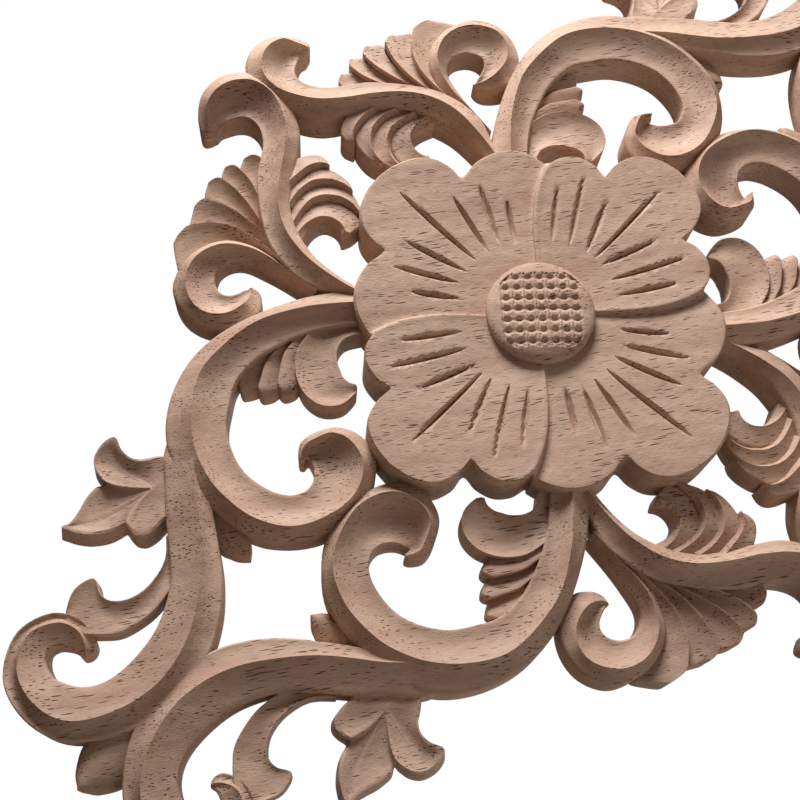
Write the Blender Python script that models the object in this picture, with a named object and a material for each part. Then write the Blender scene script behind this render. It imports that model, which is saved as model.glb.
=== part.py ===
"""A carved wooden applique, built as one closed solid.

A flower of four broad petals sits in a pierced frame of leafy scrolls, with a
domed button at its centre. The carving is the same in its four quarters, so one
quarter is built, mirrored in the long and the short axis, and united with the
flower, the button and the two end buds. The tables are in millimetres, seen from
the front: x along the long axis, y along the short axis, z up from the flat back.
"""
import math

import bmesh
import bpy
import numpy as np
from mathutils import Matrix

MM = 0.001                      # tables in millimetres, model in metres

# Driving dimensions
SCALE = 1.0                     # size of the whole carving against the tables
HALF_LENGTH = 150.0             # from the middle to the tip of an end bud
FIRST_DEPTH = 3.9               # how far the first piece starts below the back
DEPTH_STEP = 0.3                # each next piece starts lower, then all are cut flat
FLOWER_DEPTH = 8.8
FLOWER_CENTRE = 10.8            # height of the petals at the middle
BUTTON_RADIUS = 13.6
BUTTON_BASE = 10.5
BUTTON_TOP = 15.2
BUTTON_SIDES = 20
BUTTON_DEPTH = 14.5
VEIN_WIDTH = 1.7
VEIN_DEPTH = 1.3
VEIN_FULL = (0.3, 0.7)          # share of its length between which a vein is deepest
CUTTER_RISE = 2.0               # the vein cutter's top above the button
LEAF_FLARE = 1.07               # the lobed leaf's back against its front
BLOCK = (200.0, 150.0, 60.0)    # half sizes and depth of the block below the back
FLAT_ENOUGH = 4.0               # degrees between faces that may be merged

# Rows of facets along each piece, and shares of the radius from rim to centre
C_ROWS, S_ROWS, P_ROWS, M_ROWS = 22, 17, 14, 18
STEM_ROWS, SPUR_ROWS, INNER_LEAF_ROWS, BUD_ROWS = 9, 5, 9, 9
BLADE_ROWS, RIB_ROWS = 5, 6
FLOWER_RINGS = (1.0, 0.6, 0.2)
LOBED_LEAF_RINGS = (1.0, 0.55, 0.2)
# Share of the radius and of the rise, from the button's foot to its top
BUTTON_PROFILE = ((1.0, 0.35), (0.93, 0.68), (0.75, 0.9), (0.45, 0.98))

WOOD = {"colour": (0.66, 0.49, 0.36, 1.0), "roughness": 0.62, "metallic": 0.0}

# Large scrolls: outer edge, crest and inner edge at each station, from the root
C_RAILS = (
    ((24, 36), (26, 31.5), (28.5, 28)),
    ((31.5, 42), (32.5, 37.5), (35.5, 33.5)),
    ((38, 46), (39, 42.5), (40, 36.5)),
    ((47.5, 50.2), (48.3, 47.3), (47.5, 39.8)),
    ((57, 52.6), (57.6, 48.7), (55, 41.6)),
    ((66.5, 52.4), (66.8, 47.8), (62, 41)),
    ((76, 48.8), (74.5, 43), (67, 38.2)),
    ((83.5, 42.5), (80.3, 36.3), (71.8, 34.5)),
    ((87.5, 34), (83.5, 29), (75.3, 29)),
    ((88, 25), (84.4, 22.5), (76.8, 23.2)),
    ((87, 14.6), (83.6, 14.6), (76, 17)),
    ((83.3, 7.2), (80, 7.4), (73.9, 12.7)),
    ((76, 0.9), (74.4, 3.3), (71, 10.7)),
    ((67, -1.6), (66.6, 1.2), (68.6, 10.5)),
    ((58, 0.6), (60.5, 2.4), (66.8, 11.3)),
    ((52.8, 5), (56.4, 5.8), (65.6, 12.3)),
    ((51.8, 10.8), (55, 11.2), (64.8, 13.3)),
    ((53.8, 15.9), (56.4, 15.3), (64.2, 14.6)),
    ((58.2, 18.8), (59.8, 17.2), (63.9, 15.6)),
    ((62.6, 19.6), (63, 18), (64.2, 16)),
    ((66, 17.2), (65.8, 16.5), (65.6, 15.8)),
)
# Station, outer edge, crest, inner edge and hollow depth, straight between rows
C_HEIGHTS = (
    (0, 9.5, 12.2, 9.5, 0.8),
    (8, 9.5, 12.2, 9.5, 1.0),
    (12, 8.5, 12.2, 9.5, 1.2),
    (15, 9.0, 12.0, 9.0, 2.6),
    (18, 8.5, 10.5, 7.5, 1.6),
    (20, 5.5, 6.0, 5.5, 0.1),
)
S_RAILS = (
    ((22.5, 31), (24.5, 31), (27, 31)),
    ((25, 40), (27, 40), (29.5, 40)),
    ((25.9, 47.5), (28.2, 47.5), (32.6, 47)),
    ((25.5, 53), (28.2, 53.5), (32.8, 53.5)),
    ((23.5, 59), (26.6, 59.8), (31.5, 60)),
    ((20, 64.5), (22.9, 65.7), (28.7, 65.5)),
    ((14.8, 69), (17, 71), (24.3, 71.5)),
    ((8.8, 73), (11.3, 75), (20, 76.2)),
    ((3.7, 76.9), (6, 79.7), (15.8, 79.2)),
    ((0.3, 82.3), (2.7, 84.8), (12.2, 81.8)),
    ((-1.7, 88.5), (1, 90), (9.8, 84.9)),
    ((-2, 95.5), (1.7, 95.3), (8.7, 88)),
    ((1, 101.3), (5.2, 99), (9, 90.8)),
    ((6.5, 104.2), (9.5, 100.6), (10.6, 92.8)),
    ((12.5, 103.6), (13.6, 99.9), (12.8, 94)),
    ((17.2, 100.3), (16.4, 97.5), (14.8, 94.8)),
    ((20.2, 96), (18.6, 95.3), (16.8, 94.4)),
)
S_HEIGHTS = (
    (0, 9.0, 11.2, 9.0, 0.6),
    (3, 10.0, 13.2, 10.0, 0.8),
    (9, 10.0, 13.2, 9.5, 1.0),
    (12, 10.0, 13.0, 9.0, 2.4),
    (14, 9.5, 11.5, 8.0, 1.8),
    (16, 6.5, 7.0, 6.0, 0.2),
)
P_RAILS = (
    ((30.5, 44), (32, 44), (33.5, 44)),
    ((32, 52), (33.2, 52), (34.8, 52)),
    ((32.5, 58), (33.8, 58.3), (36.2, 58)),
    ((33.8, 64), (35.7, 64), (37.8, 62.8)),
    ((37.5, 69.8), (39.2, 68.5), (40.3, 65.2)),
    ((43.5, 72.7), (44, 70.6), (43.6, 65.8)),
    ((50, 72.4), (48.8, 70.2), (46.4, 64.4)),
    ((55.8, 69.3), (53, 67.4), (47.9, 62.3)),
    ((58.4, 63.1), (55.5, 62.5), (48.1, 60)),
    ((57.2, 56.7), (54.8, 58.1), (46.9, 58.4)),
    ((52.8, 51.4), (51.5, 54.8), (45.2, 57.6)),
    ((46.5, 49.7), (46.7, 53.8), (43.6, 57.2)),
    ((42, 52.8), (43.2, 55), (42.2, 57)),
    ((40.8, 56.2), (41.4, 56.9), (41.3, 57.6)),
)
P_HEIGHTS = (
    (0, 7.5, 9.5, 7.0, 0.4),
    (4, 8.5, 10.6, 7.2, 0.6),
    (8, 8.5, 10.8, 8.0, 1.6),
    (11, 8.0, 10.0, 7.5, 1.2),
    (13, 5.5, 6.0, 5.5, 0.1),
)
M_RAILS = (
    ((78.5, 44), (79, 38), (77, 34.5)),
    ((86, 40.6), (82.5, 34.2), (81.3, 32.5)),
    ((91.5, 34.6), (87.3, 28.8), (84.6, 27.9)),
    ((96.5, 29), (91.8, 22.6), (88.3, 22.3)),
    ((101.6, 22.6), (96.2, 17.3), (92.6, 16.2)),
    ((107, 16.8), (101.8, 12.2), (97.4, 9.9)),
    ((114.5, 12.6), (108.6, 7.2), (104, 3.8)),
    ((122, 11.1), (116, 4), (112, -0.4)),
    ((129.5, 11.6), (124.5, 3), (122, -1.8)),
    ((134.6, 14.5), (133.8, 5.5), (134, 0.2)),
    ((137.4, 19.8), (141.5, 11), (144.6, 8.5)),
    ((137.1, 23.4), (144, 18.8), (147.8, 18)),
    ((135, 25.9), (141.9, 26.8), (145.3, 28)),
    ((132.9, 25.6), (135.2, 31), (136.8, 33.6)),
    ((131.4, 23.9), (129.2, 28.8), (128.5, 31.5)),
    ((130.6, 22.2), (127.2, 24.6), (125.2, 25.4)),
    ((130.5, 20.8), (128.2, 21.3), (126.6, 20)),
    ((130.8, 19.6), (130.1, 19.4), (129.6, 18.7)),
)
M_HEIGHTS = (
    (0, 8.6, 11.4, 9.0, 0.4),
    (3, 9.0, 11.8, 9.5, 0.5),
    (9, 9.0, 11.8, 9.5, 0.8),
    (13, 7.5, 10.0, 8.8, 1.6),
    (15, 7.0, 9.2, 8.5, 1.4),
    (17, 5.5, 6.0, 5.5, 0.1),
)

# Small blades: one edge, the middle line and the other edge, from root to tip.
# Their heights are those three along the blade, then the same three at its tip
PALMETTE = (
    (((27, 59), (28, 60), (29.5, 61)),
     ((22.5, 67), (24, 68), (26, 69)),
     ((18.5, 73.5), (20.5, 74), (22.8, 74.5)),
     ((15.2, 78.5), (18, 78.5), (21.4, 78)),
     ((15.2, 81.2), (17.6, 81), (21, 81)),
     ((17.2, 82.7), (18.4, 82.6), (19.8, 82.5))),
    (((29.3, 60), (30, 61), (31, 62)),
     ((25.6, 67.5), (26.9, 68), (28.5, 68)),
     ((22.7, 73.5), (24.3, 74), (26.5, 74)),
     ((21.2, 78), (23.2, 78.5), (25.8, 78.8)),
     ((20.9, 82.2), (23.2, 82.2), (25.9, 82)),
     ((22.4, 84.2), (23.4, 84.3), (24.8, 84.1))),
    (((31, 58), (31.3, 59), (32, 60)),
     ((28.4, 66), (29, 66.5), (30, 66.5)),
     ((26.4, 73), (28, 73.2), (30.1, 73)),
     ((25.7, 78.5), (28, 78.5), (31, 78.6)),
     ((26, 82.6), (28.8, 82.2), (32.6, 81.7)),
     ((28, 84.1), (29.4, 84.1), (31, 83.6))),
    (((31.2, 56), (31.8, 57), (32.8, 58)),
     ((30, 64.5), (31.2, 64.3), (32.8, 64)),
     ((29.8, 70.5), (31.8, 70), (34.2, 70.5)),
     ((30.6, 76), (33.4, 75.5), (37.2, 75)),
     ((32.6, 80.9), (36, 79.5), (40.6, 78.6)),
     ((34.6, 82.2), (36.8, 81.8), (39, 80.8))),
    (((31.8, 56), (33, 57), (34.5, 57.5)),
     ((32.3, 64.6), (34, 65), (36.5, 64.5)),
     ((33.6, 70.4), (36.3, 70.3), (40, 69)),
     ((36.3, 75), (40.4, 73.4), (46, 70.5)),
     ((40.4, 78.4), (45.2, 76), (50.6, 71.8)),
     ((45, 79), (47.6, 77.6), (50.2, 74.8))),
)
PALMETTE_HEIGHTS = ((9.6, 7.2, 7.3), (9.0, 8.4, 8.0))

# Fan ribs: outer edge, ridge and groove at each station, like a small scroll
FAN = (
    (((14.5, 72.5), (16, 69.4), (16.6, 68)),
     ((10.6, 73.6), (12.4, 69.3), (12.6, 67.9)),
     ((8, 72.6), (9.6, 69.1), (9.4, 67.9)),
     ((5.8, 71.5), (7.5, 68.6), (7.1, 67.4)),
     ((4.2, 70), (5.8, 67.6), (5.7, 66.6)),
     ((3.7, 68), (4.8, 66.4), (5, 65.8)),
     ((4.2, 66), (4.5, 65.8), (4.8, 65.6))),
    (((19.5, 68.5), (19.6, 65.2), (19.8, 63.9)),
     ((16, 69.6), (16.2, 66), (16, 64.9)),
     ((12.2, 69.8), (13.4, 66), (13.1, 64.8)),
     ((8.6, 68.9), (11, 65.5), (10.9, 64.1)),
     ((6.2, 67.3), (8.9, 64.2), (9, 62.8)),
     ((4.9, 65), (7.2, 62.4), (7.5, 61.1)),
     ((4.2, 61.6), (6, 60), (6.7, 59.1)),
     ((4.4, 58.7), (5.6, 57.8), (6.1, 57.3)),
     ((5.2, 56.9), (5.6, 56.7), (6, 56.5))),
    (((22.5, 65), (22.3, 61.2), (22.5, 59.8)),
     ((19, 66.2), (19.2, 62), (19, 60.9)),
     ((15.6, 66.4), (16.5, 62.4), (16.2, 61.1)),
     ((12.6, 66.2), (14.3, 62.2), (14.1, 60.7)),
     ((9.6, 65), (12.1, 61.3), (12.3, 59.7)),
     ((7.4, 62.4), (10.4, 59.8), (10.9, 58.3)),
     ((6, 59.6), (8.9, 57.6), (9.9, 56.6)),
     ((5.9, 56.2), (8.2, 54.9), (9.5, 54.5)),
     ((6.9, 53.4), (8.4, 52.6), (9.3, 52.4)),
     ((8, 50.8), (8.7, 50.7), (9.3, 50.6))),
    (((24.5, 62.5), (24.2, 58.3), (24.5, 56)),
     ((21.5, 62.6), (20.9, 58.7), (21, 57.2)),
     ((18.6, 62.6), (18.6, 58.3), (18.2, 57.3)),
     ((15.6, 62.2), (16.7, 57.5), (16.3, 56.5)),
     ((12.4, 60.6), (15, 55.7), (15.4, 54.9)),
     ((10.2, 57.4), (14.3, 53.6), (15.2, 53.2)),
     ((9.2, 53.6), (14.4, 51.7), (15.6, 51.6)),
     ((9.6, 50.2), (14.9, 50.4), (16.3, 50.5)),
     ((11, 48.6), (14.2, 49.2), (16.2, 49.8))),
)
FAN_HEIGHTS = (
    ((0, 9.2, 10.6, 9.4, 0.2), (2, 9.6, 10.8, 8.4, 0.3), (6, 8.6, 9.4, 8.2, 0.1)),
    ((0, 8.6, 10, 9, 0.2), (3, 8.8, 10.2, 7.8, 0.3), (8, 8.2, 9, 7.6, 0.1)),
    ((0, 8, 9.4, 8.4, 0.2), (3, 8.2, 9.6, 7.2, 0.3), (9, 7.8, 8.4, 7, 0.1)),
    ((0, 7.6, 8.8, 7.8, 0.2), (3, 7.8, 9.2, 7.8, 0.2), (8, 7, 8, 7.2, 0.1)),
)

INNER_LEAF = (
    ((28.5, 33.5), (30.4, 31), (32.2, 28)),
    ((33, 36.4), (34.6, 33.4), (36.2, 30.3)),
    ((37.6, 38), (38.6, 34), (39.6, 29.6)),
    ((42.4, 37.4), (42.3, 32.6), (42, 27.4)),
    ((47.1, 36), (45.8, 31), (43, 25.6)),
    ((51.2, 32.3), (48.5, 28.6), (43.7, 24.2)),
    ((53.4, 27.4), (49.4, 25.6), (43.9, 23)),
    ((52.8, 22.5), (48.9, 22.4), (43.8, 21.8)),
    ((49.4, 19.2), (46.7, 20), (43.3, 20.8)),
    ((44.8, 18.6), (43.9, 19.2), (42.6, 19.8)),
)
INNER_LEAF_HEIGHTS = ((9.3, 7.7, 8.8), (9.2, 8.2, 8.8))
INNER_RIBS = (
    (((41, 41), (41, 38.5), (41, 35)),
     ((45.4, 39.1), (45.6, 37), (45.6, 34.5)),
     ((49.6, 38), (49.2, 35.8), (48.6, 33)),
     ((53.8, 35.4), (53, 33.4), (51.4, 30.8)),
     ((57, 32.6), (56.4, 31.3), (54.2, 29.8))),
    (((45, 42), (45, 40), (45, 37.5)),
     ((49.4, 40.7), (49.6, 39), (49.4, 36.4)),
     ((53.6, 40), (53, 38), (52, 35.2)),
     ((57.6, 37.8), (56.8, 36), (54.8, 33.6)),
     ((60.6, 35.9), (60.1, 34.8), (57.8, 33))),
    (((51, 43), (51, 41.2), (51, 39)),
     ((56, 42.4), (56, 40.2), (55.4, 37.4)),
     ((60.6, 41.6), (60.2, 39.4), (58.6, 36.6)),
     ((63, 39.7), (62.8, 38.6), (61, 37.2))),
)
INNER_RIB_HEIGHTS = (
    ((8.7, 7.9, 6.6), (8.0, 7.8, 6.6)),
    ((7.9, 7.1, 5.8), (7.2, 7.0, 5.8)),
    ((7.1, 6.3, 5.0), (6.4, 6.2, 5.0)),
)

# Lobed leaf, spread out from its root: rim point and height, then middle point
# and height, all round; a step in height between two rows is a crease
TREFOIL = (
    (84, 38, 8.4, 88, 36.5, 8.2),
    (87.5, 41, 8.6, 90, 38.6, 8.0),
    (89, 41.9, 8.8, 91.4, 39.2, 7.8),
    (90.9, 43.2, 9.0, 92.8, 40.6, 7.5),
    (92.2, 45.2, 9.2, 93.8, 42.6, 7.3),
    (92.3, 47.9, 9.5, 94.8, 45, 7.3),
    (91.3, 50.6, 9.8, 95.2, 46.6, 7.4),
    (92.2, 51.8, 9.6, 95.8, 46.8, 7.4),
    (95, 52.1, 9.2, 96.4, 46.6, 7.4),
    (98, 51, 9.0, 97, 46, 7.5),
    (99.6, 48.9, 9.0, 97.5, 45, 7.7),
    (100.1, 46.4, 9.0, 98, 43.2, 8.0),
    (100, 45.2, 9.0, 98.2, 41.6, 8.3),
    (100.4, 45.2, 6.8, 98.5, 41.4, 7.4),
    (102, 46, 7.4, 100.2, 41.6, 7.0),
    (103.7, 45.9, 7.8, 101.6, 41.6, 6.8),
    (105.8, 45.5, 8.0, 102.8, 41.4, 6.8),
    (108, 44.7, 8.2, 104, 41, 6.8),
    (110.2, 44, 8.4, 105, 40.6, 6.9),
    (112.2, 43.8, 8.6, 105.8, 40.2, 7.0),
    (113.9, 44.3, 8.8, 106.2, 39.8, 7.0),
    (113.3, 42.6, 8.7, 105.8, 39.3, 7.0),
    (112.4, 40.8, 8.6, 105, 38.8, 7.0),
    (110.7, 38.5, 8.5, 103.8, 38.2, 7.1),
    (108.1, 36.4, 8.2, 102.3, 37.6, 7.2),
    (105.9, 35.4, 7.8, 100.9, 37, 7.3),
    (103.9, 34.9, 7.2, 99.8, 36.4, 7.5),
    (103.7, 34.4, 8.8, 99.5, 36, 8.1),
    (104, 32.6, 8.8, 99.4, 34.6, 7.9),
    (103.8, 30.8, 8.7, 98.9, 33.6, 7.8),
    (102.4, 29.4, 8.6, 98, 33.2, 7.8),
    (99.8, 28.9, 8.5, 96.8, 32.8, 7.9),
    (97, 29, 8.4, 95.4, 32.8, 8.0),
    (93.5, 28.5, 8.4, 93.6, 32.8, 8.1),
    (88, 32, 8.4, 90.8, 34.6, 8.2),
)
TREFOIL_ROOT = (93.4, 36.2, 8.2)

STEM = (
    ((99, 26.5), (100, 22), (101, 18)),
    ((103.2, 22.4), (104.8, 20), (106.5, 16.8)),
    ((108.9, 20.8), (110.5, 18.6), (112.2, 15.9)),
    ((114, 21.4), (115.4, 19), (117, 16.4)),
    ((117.6, 24), (119.3, 21.5), (121.4, 17.8)),
    ((118.3, 27.2), (120.8, 24.5), (124.4, 20.3)),
    ((116.9, 30.6), (121.6, 27), (126.8, 23)),
    ((121.2, 31.8), (124.3, 29), (128.4, 25.4)),
    ((126, 30), (127, 28.6), (129.4, 27)),
)
STEM_HEIGHTS = ((8.0, 6.9, 7.6), (8.8, 8.2, 8.2))

SPUR = (
    ((83, 27), (86, 27), (90, 25)),
    ((84.3, 20), (87.6, 19.8), (92.2, 19)),
    ((85.3, 15.5), (88.3, 15.4), (92.9, 15.6)),
    ((86.3, 12.9), (89, 12.8), (92.4, 12.9)),
    ((89.1, 9.9), (89.5, 9.7), (90.2, 9.9)),
)
SPUR_HEIGHTS = ((4.8, 6.4, 4.4), (4.6, 5.2, 4.4))

END_BUD = (
    ((112, 3), (112, 0), (112, -3)),
    ((126, 4.5), (126, 0), (126, -4.5)),
    ((136, 6.5), (136, 0), (136, -6.5)),
    ((143, 6), (143, 0), (143, -6)),
    ((148, 3), (148, 0), (148, -3)),
    ((HALF_LENGTH, 0.6), (HALF_LENGTH, 0), (HALF_LENGTH, -0.6)),
)
END_BUD_HEIGHTS = ((6.0, 8.2, 6.0), (6.0, 7.6, 6.0))

# Flower rim over one quarter: x, y, height at the rim, height half way in
FLOWER_RIM = (
    (54.2, 0, 14.3, 12.3),
    (53.2, 5.5, 14.2, 12.3),
    (50.2, 10.4, 14.0, 12.35),
    (45, 12.6, 13.8, 12.4),
    (40.3, 12.4, 14.1, 12.5),
    (40.6, 16.5, 13.9, 12.5),
    (39.4, 21, 13.8, 12.55),
    (36.2, 24, 13.9, 12.7),
    (32.5, 25.1, 14.1, 12.9),
    (32.9, 26.2, 12.5, 11.7),
    (31.7, 30.6, 13.0, 11.8),
    (29, 34.6, 13.4, 12.0),
    (25, 37.3, 13.6, 12.1),
    (20, 38.6, 13.7, 12.2),
    (15.8, 38.2, 13.8, 12.3),
    (14.3, 38.8, 14.1, 12.35),
    (14.5, 42.5, 13.9, 12.35),
    (13.3, 46.8, 13.8, 12.3),
    (10, 50.3, 14.0, 12.3),
    (5, 52.5, 14.2, 12.3),
    (0, 53.2, 14.3, 12.3),
)

# Veins cut into the petals: angle and radius at the outer end, then at the inner
VEINS = (
    (0, 45.5, 0, 21.5),
    (13, 36.5, 7, 21.5),
    (24.5, 40, 19.5, 20.8),
    (33.5, 35.3, 32, 20.3),
    (56, 31.5, 58, 20),
    (65, 37.3, 69, 21.5),
    (76.5, 37.3, 79, 21.2),
    (90, 46, 90, 21.4),
)


def carried(table, count):
    """A smooth curve through the rows of a table, read at evenly spaced stations."""
    rows = np.array(table, float).reshape(len(table), -1)
    at = np.linspace(0.0, len(rows) - 1.0, count)
    low = np.clip(np.floor(at).astype(int), 0, len(rows) - 2)
    u = (at - low)[:, None]
    before = np.where(low > 0, low - 1, low)
    after = np.where(low < len(rows) - 2, low + 2, low + 1)
    a, b, c, d = rows[before], rows[low], rows[low + 1], rows[after]
    curve = 0.5 * (2 * b + (c - a) * u + (2 * a - 5 * b + 4 * c - d) * u ** 2
                   + (3 * b - a - 3 * c + d) * u ** 3)
    return at, curve


def new_object(name, points, faces):
    """A mesh object with its faces turned outwards."""
    mesh = bpy.data.meshes.new(name)
    mesh.from_pydata([tuple(p) for p in points], [], faces)
    shape = bmesh.new()
    shape.from_mesh(mesh)
    if shape.calc_volume(signed=True) < 0:
        bmesh.ops.reverse_faces(shape, faces=shape.faces)
    shape.to_mesh(mesh)
    shape.free()
    piece = bpy.data.objects.new(name, mesh)
    bpy.context.scene.collection.objects.link(piece)
    return piece


def tube(name, grid):
    """A closed body: a closed section carried from row to row, capped at both ends."""
    rows, around = grid.shape[0], grid.shape[1]
    index = np.arange(rows * around).reshape(rows, around)
    faces = [index[0].tolist(), index[-1][::-1].tolist()]
    for i in range(rows - 1):
        for j in range(around):
            k = (j + 1) % around
            faces.append([int(index[i, j]), int(index[i + 1, j]),
                          int(index[i + 1, k]), int(index[i, k])])
    return new_object(name, grid.reshape(-1, 3), faces)


def with_height(plan, height):
    height = np.broadcast_to(height, (len(plan),))
    return np.column_stack([plan, height])


def scroll(name, rails, heights, rows, depth):
    """A scroll band: a plain outer flank, a sharp crest and a hollow inner face."""
    at, path = carried(rails, rows)
    marks = np.array(heights, float)
    outer_z, crest_z, inner_z, hollow = (
        np.interp(at, marks[:, 0], marks[:, k]) for k in range(1, 5))
    outer, crest, inner = path[:, 0:2], path[:, 2:4], path[:, 4:6]
    middle_z = (crest_z + inner_z) / 2 - hollow
    columns = [with_height(outer, -depth), with_height(outer, outer_z),
               with_height(crest, crest_z), with_height((crest + inner) / 2, middle_z),
               with_height(inner, inner_z), with_height(inner, -depth)]
    return tube(name, np.stack(columns, axis=1))


def blade(name, rails, heights, rows, depth):
    """A small leaf or rib: two edges and a middle line, easing to the tip's heights."""
    at, path = carried(rails, rows)
    along, tip = np.array(heights, float)
    z = along + (tip - along) * (at[:, None] / at[-1]) ** 4
    left, middle, right = path[:, 0:2], path[:, 2:4], path[:, 4:6]
    columns = [with_height(left, -depth), with_height(left, z[:, 0]),
               with_height(middle, z[:, 1]), with_height(right, z[:, 2]),
               with_height(right, -depth)]
    return tube(name, np.stack(columns, axis=1))


def spread(root, middle, rim, s):
    """A parabola through the root (s = 0), the middle (s = 0.5) and the rim (s = 1)."""
    return root * (1 - s) * (1 - 2 * s) + middle * 4 * s * (1 - s) + rim * s * (2 * s - 1)


def lobed_leaf(name, table, root, depth):
    """A leaf of rounded lobes: rays that spread from the root to each rim point."""
    rows = np.array(table, float)
    rim, middle, root = rows[:, 0:3], rows[:, 3:6], np.array(root)
    flare = 1 + (LEAF_FLARE - 1) * (rim[:, 2:3] + depth) / rim[:, 2:3]
    foot = root[:2] + (rim[:, 0:2] - root[:2]) * flare
    rings = [with_height(foot, -depth)]
    rings += [spread(root, middle, rim, s) for s in LOBED_LEAF_RINGS]
    return tube(name, np.stack(rings, axis=0))


def flower_rim():
    """The whole rim from the quarter's table: plan, rim height, half way height."""
    quarter_rim = np.array(FLOWER_RIM, float)
    upper = np.vstack([quarter_rim, quarter_rim[::-1][1:] * (-1, 1, 1, 1)])
    rim = np.vstack([upper, upper[::-1][1:-1] * (1, -1, 1, 1)])
    return rim[:, 0:2], rim[:, 2], rim[:, 3]


def flower():
    """Two long-axis petals lapping two short-axis petals, three lobes to each."""
    plan, rim_z, half_z = flower_rim()
    rings = [with_height(plan, -FLOWER_DEPTH)]
    for s in FLOWER_RINGS:
        rings.append(with_height(plan * s, spread(FLOWER_CENTRE, half_z, rim_z, s)))
    return tube("flower", np.stack(rings, axis=0))


def button():
    """The domed centre of the flower."""
    turn = np.arange(BUTTON_SIDES) * 2 * math.pi / BUTTON_SIDES
    circle = np.column_stack([np.cos(turn), np.sin(turn)]) * BUTTON_RADIUS
    rings = [with_height(circle, -BUTTON_DEPTH)]
    for radius, rise in BUTTON_PROFILE:
        height = BUTTON_BASE + (BUTTON_TOP - BUTTON_BASE) * rise
        rings.append(with_height(circle * radius, height))
    return tube("button", np.stack(rings, axis=0))


def vein_cutter():
    """Long V-shaped gouge cuts with pointed ends, all in one helper."""
    points, faces = [], []
    for outer_angle, outer_radius, inner_angle, inner_radius in VEINS:
        for sx, sy in ((1, 1), (-1, 1), (-1, -1), (1, -1)):
            if (outer_angle == 0 and sy < 0) or (outer_angle == 90 and sx < 0):
                continue
            ends = []
            for angle, radius in ((outer_angle, outer_radius), (inner_angle, inner_radius)):
                turn = math.radians(angle)
                ends.append(np.array([sx * radius * math.cos(turn),
                                      sy * radius * math.sin(turn)]))
            add_vein(points, faces, ends[0], ends[1])
    return new_object("vein_cutter", points, faces)


def add_vein(points, faces, outer, inner):
    """One cut: a level top well above the petal and a keel below its surface."""
    along = (outer - inner) / np.linalg.norm(outer - inner)
    side = np.array([-along[1], along[0]])
    top = BUTTON_TOP + CUTTER_RISE
    keel_in, keel_out = (inner + (outer - inner) * share for share in VEIN_FULL)
    floor_out = surface_height(keel_out) - VEIN_DEPTH
    floor_in = surface_height(keel_in) - VEIN_DEPTH
    first = len(points)
    points += [(*outer, surface_height(outer)), (*inner, surface_height(inner)),
               (*keel_out, floor_out), (*keel_in, floor_in)]
    flare = side * VEIN_WIDTH * (top - floor_out) / (VEIN_DEPTH * 2)
    for place in (outer, keel_out + flare, keel_in + flare, inner, keel_in - flare,
                  keel_out - flare):
        points.append((*place, top))
    a, b, low_a, low_b, t0, t1, t2, t3, t4, t5 = range(first, first + 10)
    faces += [(t0, t1, t2, t3, t4, t5), (t0, a, low_a, t1), (t1, low_a, low_b, t2),
              (t2, low_b, b, t3), (t3, b, low_b, t4), (t4, low_b, low_a, t5),
              (t5, low_a, a, t0)]


def surface_height(place):
    """The petal's height at a place, from the rim at the same angle."""
    plan, rim_z, half_z = flower_rim()
    angles = np.arctan2(plan[:, 1], plan[:, 0])
    order = np.argsort(angles)
    turn = math.atan2(place[1], place[0])
    reach, rim, half = (np.interp(turn, angles[order], values[order], period=2 * math.pi)
                        for values in (np.hypot(plan[:, 0], plan[:, 1]), rim_z, half_z))
    return float(spread(FLOWER_CENTRE, half, rim, np.linalg.norm(place) / reach))


def add_boolean(base, other, operation):
    """MANIFOLD, because EXACT leaves open edges where many leaves meet."""
    other.hide_render = True
    other.display_type = "WIRE"
    cut = base.modifiers.new(other.name, "BOOLEAN")
    cut.operation = operation
    cut.solver = "MANIFOLD"
    cut.object = other


def applied(base, helpers):
    """Turn the modifier stack into plain mesh and drop the helpers."""
    graph = bpy.context.evaluated_depsgraph_get()
    mesh = bpy.data.meshes.new_from_object(base.evaluated_get(graph))
    base.modifiers.clear()
    base.data = mesh
    for helper in helpers:
        bpy.data.objects.remove(helper)
    return base


def united(base, others):
    for other in others:
        add_boolean(base, other, "UNION")
    return applied(base, others)


def less(base, other):
    add_boolean(base, other, "DIFFERENCE")
    return applied(base, [other])


def mirrored(piece, sx, sy):
    copy = bpy.data.objects.new(piece.name + "_mirror", piece.data.copy())
    copy.data.transform(Matrix.Diagonal((sx, sy, 1, 1)))
    if sx * sy < 0:
        copy.data.flip_normals()
    bpy.context.scene.collection.objects.link(copy)
    return copy


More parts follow.
